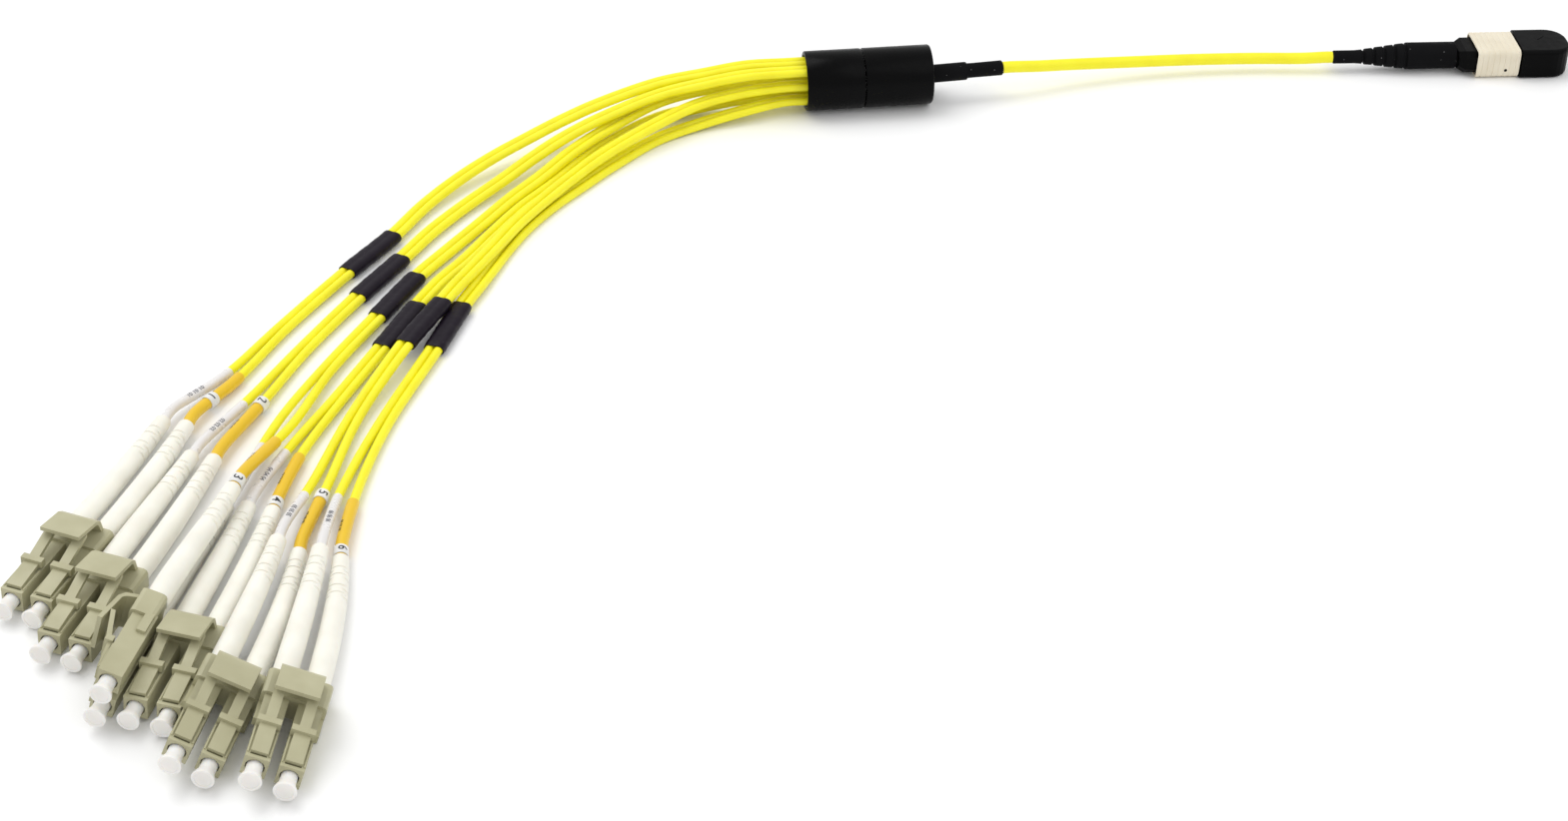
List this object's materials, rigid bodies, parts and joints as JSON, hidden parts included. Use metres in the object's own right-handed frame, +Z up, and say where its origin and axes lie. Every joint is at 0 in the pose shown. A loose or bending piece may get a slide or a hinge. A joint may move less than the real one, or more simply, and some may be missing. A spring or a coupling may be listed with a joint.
{
  "type": "fibre optic breakout jumper cable",
  "caption": "Yellow breakout jumper: a push-pull ribbon plug on a short trunk, a black breakout tube, and thin legs in pairs to capped duplex plugs with white boots.",
  "frame": {"origin": "middle of the outline of the plugs and the tube on the floor they lie on", "axes": "+X from the duplex plugs towards the 12-fibre plug, +Y away from the duplex plugs' noses, +Z up"},
  "size_m": [0.353, 0.2828, 0.015],
  "materials": {
    "yellow_jacket": "smooth extruded jacket, bright yellow",
    "black_plastic": "fine moulded black, satin",
    "olive_plastic": "moulded olive beige, matte",
    "white_plastic": "soft white, satin",
    "cream_plastic": "moulded cream, satin, with fine grip ribs"
  },
  "bodies": {
    "root": {"duplex_1_body": "olive_plastic", "duplex_1_left_boot": "white_plastic", "duplex_1_left_leg": "yellow_jacket", "duplex_1_right_boot": "white_plastic", "duplex_1_right_leg": "yellow_jacket", "duplex_1_band": "black_plastic", "duplex_2_body": "olive_plastic", "duplex_2_left_boot": "white_plastic", "duplex_2_left_leg": "yellow_jacket", "duplex_2_right_boot": "white_plastic", "duplex_2_right_leg": "yellow_jacket", "duplex_2_band": "black_plastic", "duplex_3_body": "olive_plastic", "duplex_3_left_boot": "white_plastic", "duplex_3_left_leg": "yellow_jacket", "duplex_3_right_boot": "white_plastic", "duplex_3_right_leg": "yellow_jacket", "duplex_3_band": "black_plastic", "duplex_4_body": "olive_plastic", "duplex_4_left_boot": "white_plastic", "duplex_4_left_leg": "yellow_jacket", "duplex_4_right_boot": "white_plastic", "duplex_4_right_leg": "yellow_jacket", "duplex_4_band": "black_plastic", "duplex_5_body": "olive_plastic", "duplex_5_left_boot": "white_plastic", "duplex_5_left_leg": "yellow_jacket", "duplex_5_right_boot": "white_plastic", "duplex_5_right_leg": "yellow_jacket", "duplex_5_band": "black_plastic", "duplex_6_body": "olive_plastic", "duplex_6_left_boot": "white_plastic", "duplex_6_left_leg": "yellow_jacket", "duplex_6_right_boot": "white_plastic", "duplex_6_right_leg": "yellow_jacket", "duplex_6_band": "black_plastic", "breakout_body": "black_plastic", "breakout_cap": "black_plastic", "strain_relief": "black_plastic", "trunk_cable": "yellow_jacket", "mpo_housing": "black_plastic", "mpo_ferrule": "black_plastic", "mpo_boot": "black_plastic"},
    "duplex_1_left_dust_cap": {"duplex_1_left_dust_cap": "white_plastic"},
    "duplex_1_right_dust_cap": {"duplex_1_right_dust_cap": "white_plastic"},
    "duplex_2_left_dust_cap": {"duplex_2_left_dust_cap": "white_plastic"},
    "duplex_2_right_dust_cap": {"duplex_2_right_dust_cap": "white_plastic"},
    "duplex_3_left_dust_cap": {"duplex_3_left_dust_cap": "white_plastic"},
    "duplex_3_right_dust_cap": {"duplex_3_right_dust_cap": "white_plastic"},
    "duplex_4_left_dust_cap": {"duplex_4_left_dust_cap": "white_plastic"},
    "duplex_4_right_dust_cap": {"duplex_4_right_dust_cap": "white_plastic"},
    "duplex_5_left_dust_cap": {"duplex_5_left_dust_cap": "white_plastic"},
    "duplex_5_right_dust_cap": {"duplex_5_right_dust_cap": "white_plastic"},
    "duplex_6_left_dust_cap": {"duplex_6_left_dust_cap": "white_plastic"},
    "duplex_6_right_dust_cap": {"duplex_6_right_dust_cap": "white_plastic"},
    "mpo_coupling_sleeve": {"mpo_coupling_sleeve": "cream_plastic"},
    "mpo_dust_cap": {"mpo_dust_cap": "black_plastic"}
  },
  "joints": [
    {"name": "duplex_1_left_dust_cap_pull", "type": "slide", "parent": "root", "child": "duplex_1_left_dust_cap", "axis": [-0.2957, -0.9553, 0], "range_m": [0, 0.008]},
    {"name": "duplex_1_right_dust_cap_pull", "type": "slide", "parent": "root", "child": "duplex_1_right_dust_cap", "axis": [-0.2957, -0.9553, 0], "range_m": [0, 0.008]},
    {"name": "duplex_2_left_dust_cap_pull", "type": "slide", "parent": "root", "child": "duplex_2_left_dust_cap", "axis": [-0.2521, -0.9677, 0], "range_m": [0, 0.008]},
    {"name": "duplex_2_right_dust_cap_pull", "type": "slide", "parent": "root", "child": "duplex_2_right_dust_cap", "axis": [-0.2521, -0.9677, 0], "range_m": [0, 0.008]},
    {"name": "duplex_3_left_dust_cap_pull", "type": "slide", "parent": "root", "child": "duplex_3_left_dust_cap", "axis": [-0.1822, -0.9833, 0], "range_m": [0, 0.008]},
    {"name": "duplex_3_right_dust_cap_pull", "type": "slide", "parent": "root", "child": "duplex_3_right_dust_cap", "axis": [-0.1822, -0.9833, 0], "range_m": [0, 0.008]},
    {"name": "duplex_4_left_dust_cap_pull", "type": "slide", "parent": "root", "child": "duplex_4_left_dust_cap", "axis": [-0.1754, -0.9845, 0], "range_m": [0, 0.008]},
    {"name": "duplex_4_right_dust_cap_pull", "type": "slide", "parent": "root", "child": "duplex_4_right_dust_cap", "axis": [-0.1754, -0.9845, 0], "range_m": [0, 0.008]},
    {"name": "duplex_5_left_dust_cap_pull", "type": "slide", "parent": "root", "child": "duplex_5_left_dust_cap", "axis": [-0.153, -0.9882, 0], "range_m": [0, 0.008]},
    {"name": "duplex_5_right_dust_cap_pull", "type": "slide", "parent": "root", "child": "duplex_5_right_dust_cap", "axis": [-0.153, -0.9882, 0], "range_m": [0, 0.008]},
    {"name": "duplex_6_left_dust_cap_pull", "type": "slide", "parent": "root", "child": "duplex_6_left_dust_cap", "axis": [-0.0558, -0.9984, 0], "range_m": [0, 0.008]},
    {"name": "duplex_6_right_dust_cap_pull", "type": "slide", "parent": "root", "child": "duplex_6_right_dust_cap", "axis": [-0.0558, -0.9984, 0], "range_m": [0, 0.008]},
    {"name": "mpo_coupling_sleeve_slide", "type": "slide", "parent": "root", "child": "mpo_coupling_sleeve", "axis": [-0.9993, -0.0384, 0], "range_m": [0, 0.0025], "stiffness_N_per_m": 800},
    {"name": "mpo_dust_cap_pull", "type": "slide", "parent": "root", "child": "mpo_dust_cap", "axis": [0.9993, 0.0384, 0], "range_m": [0, 0.012]}
  ]
}
